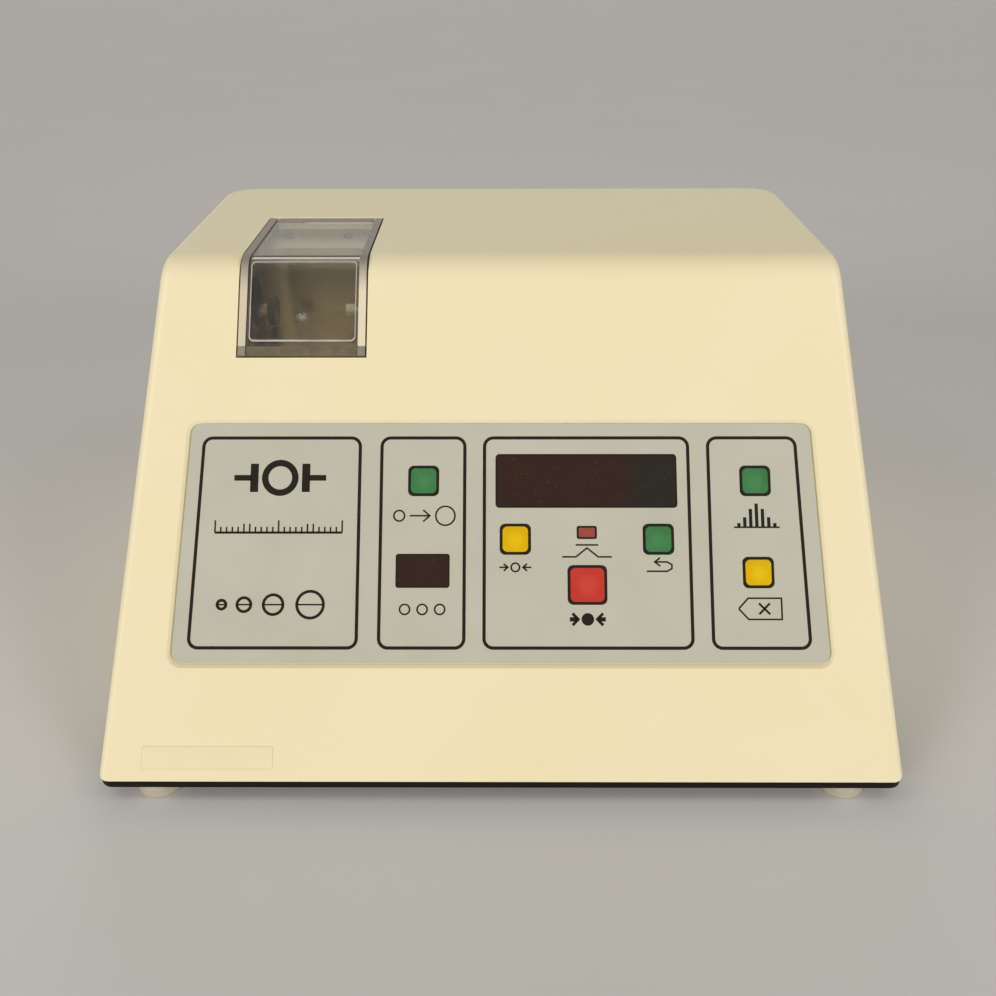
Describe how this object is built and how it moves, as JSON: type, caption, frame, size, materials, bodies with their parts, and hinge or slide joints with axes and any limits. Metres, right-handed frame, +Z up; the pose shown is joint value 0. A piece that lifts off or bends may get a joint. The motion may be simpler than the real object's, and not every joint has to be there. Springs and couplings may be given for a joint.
{
  "type": "tablet hardness tester",
  "caption": "Bench tester with a sloped keypad and display front and a hinged clear lid over a steel chamber, where a screw-driven jaw presses a tablet against a load cell.",
  "frame": {"origin": "centre of the footprint on the resting plane, under the feet", "axes": "+X to the right as seen from the front, along the width; +Y to the rear; +Z up"},
  "size_m": [0.405, 0.353, 0.2263],
  "materials": {
    "cream_moulding": "satin",
    "black_painted_steel": "satin powder coat",
    "pale_rubber": "matte",
    "zinc_plated_steel": "plain",
    "grey_polyester": "fine texture",
    "clear_polyester": "plain",
    "green_circuit_board": "satin",
    "polished_stainless": "polished",
    "white_nylon": "satin",
    "clear_acrylic": "polished",
    "frosted_acrylic": "satin, cut edges",
    "black_plastic": "satin",
    "stainless_rod": "ground",
    "aluminium_plain": "machined",
    "bronze": "machined",
    "bearing_steel": "polished",
    "core_steel": "varnished sheets",
    "amber_tape": "taped",
    "connector_steel": "nickel plated",
    "green_key": "fine texture",
    "yellow_key": "fine texture",
    "red_key": "fine texture",
    "dark_window": "gloss",
    "red_lens": "gloss",
    "display_body": "plain"
  },
  "bodies": {
    "tester": {"cover_shell": "cream_moulding", "base_plate": "black_painted_steel", "feet": "pale_rubber", "foot_screws": "zinc_plated_steel", "cover_screws": "zinc_plated_steel", "keypad_sheet": "grey_polyester", "keypad_circuit": "clear_polyester", "display_board": "green_circuit_board", "chamber_liner": "polished_stainless", "chamber_floor": "polished_stainless", "chamber_floor_screw": "white_nylon", "chamber_bracket": "zinc_plated_steel", "lid_hinge_block": "black_plastic", "lid_hinge_pin": "stainless_rod", "sensor_bracket": "aluminium_plain", "load_cell": "aluminium_plain", "load_cell_screws": "zinc_plated_steel", "fixed_jaw": "polished_stainless", "guide_bush": "bronze", "front_bearing_block": "aluminium_plain", "rear_bearing_block": "aluminium_plain", "screw_bearings": "bearing_steel", "drive_motor": "zinc_plated_steel", "motor_bracket": "zinc_plated_steel", "end_switches": "black_plastic", "frame_beam": "black_painted_steel", "main_board": "green_circuit_board", "transformer_core": "core_steel", "transformer_winding": "amber_tape", "rear_panel": "black_painted_steel", "mains_inlet": "black_plastic", "power_switch": "black_plastic", "printer_port": "connector_steel", "frame_legs": "black_painted_steel", "small_screws": "zinc_plated_steel", "main_display_window": "dark_window", "count_display_window": "dark_window", "peak_hold_lens": "red_lens", "main_display_module": "display_body", "count_display_module": "display_body"},
    "lid": {"lid_pane": "clear_acrylic", "lid_lower_strip": "black_plastic", "lid_corner_blocks": "frosted_acrylic", "lid_left_side": "frosted_acrylic", "lid_right_side": "frosted_acrylic"},
    "plunger": {"plunger_shaft": "stainless_rod", "moving_jaw": "polished_stainless", "drive_carriage": "aluminium_plain", "drive_nut": "bronze"},
    "screw": {"lead_screw": "stainless_rod", "shaft_coupling": "aluminium_plain", "motor_shaft": "stainless_rod"},
    "rocker": {"power_rocker": "black_plastic"},
    "fuse_holder": {"fuse_drawer": "black_plastic"},
    "new_size_key": {"new_size_key": "green_key"},
    "zero_key": {"zero_key": "yellow_key"},
    "return_key": {"return_key": "green_key"},
    "test_key": {"test_key": "red_key"},
    "statistics_key": {"statistics_key": "green_key"},
    "cancel_key": {"cancel_key": "yellow_key"}
  },
  "joints": [
    {"name": "lid_hinge", "type": "hinge", "parent": "tester", "child": "lid", "pos_m": [-0.1061, 0.07615, 0.22315], "axis": [-1, 0, 0], "range_deg": [0, 100]},
    {"name": "screw_spin", "type": "hinge", "parent": "tester", "child": "screw", "pos_m": [0.03065, 0.0205, 0.1715], "axis": [1, 0, 0], "range_deg": [0, 6840]},
    {"name": "jaw_slide", "type": "slide", "parent": "tester", "child": "plunger", "axis": [-1, 0, 0], "range_m": [0, 0.038]},
    {"name": "rocker_tilt", "type": "hinge", "parent": "tester", "child": "rocker", "pos_m": [0.066, 0.17008, 0.04457], "axis": [0, -0.0854, 0.9963], "range_deg": [-18, 0]},
    {"name": "fuse_drawer_slide", "type": "slide", "parent": "tester", "child": "fuse_holder", "axis": [0, 0.9963, 0.0854], "range_m": [0, 0.014]},
    {"name": "new_size_press", "type": "slide", "parent": "tester", "child": "new_size_key", "axis": [0, 0.776, -0.6307], "range_m": [0, 0.00035], "stiffness_N_per_m": 1500, "springref_m": -0.0005},
    {"name": "zero_press", "type": "slide", "parent": "tester", "child": "zero_key", "axis": [0, 0.776, -0.6307], "range_m": [0, 0.00035], "stiffness_N_per_m": 1500, "springref_m": -0.0005},
    {"name": "return_press", "type": "slide", "parent": "tester", "child": "return_key", "axis": [0, 0.776, -0.6307], "range_m": [0, 0.00035], "stiffness_N_per_m": 1500, "springref_m": -0.0005},
    {"name": "test_press", "type": "slide", "parent": "tester", "child": "test_key", "axis": [0, 0.776, -0.6307], "range_m": [0, 0.00035], "stiffness_N_per_m": 1500, "springref_m": -0.0005},
    {"name": "statistics_press", "type": "slide", "parent": "tester", "child": "statistics_key", "axis": [0, 0.776, -0.6307], "range_m": [0, 0.00035], "stiffness_N_per_m": 1500, "springref_m": -0.0005},
    {"name": "cancel_press", "type": "slide", "parent": "tester", "child": "cancel_key", "axis": [0, 0.776, -0.6307], "range_m": [0, 0.00035], "stiffness_N_per_m": 1500, "springref_m": -0.0005}
  ],
  "couplings": [
    {"joint": "jaw_slide", "follows": "screw_spin", "m_per_rad": 0.0003183}
  ]
}
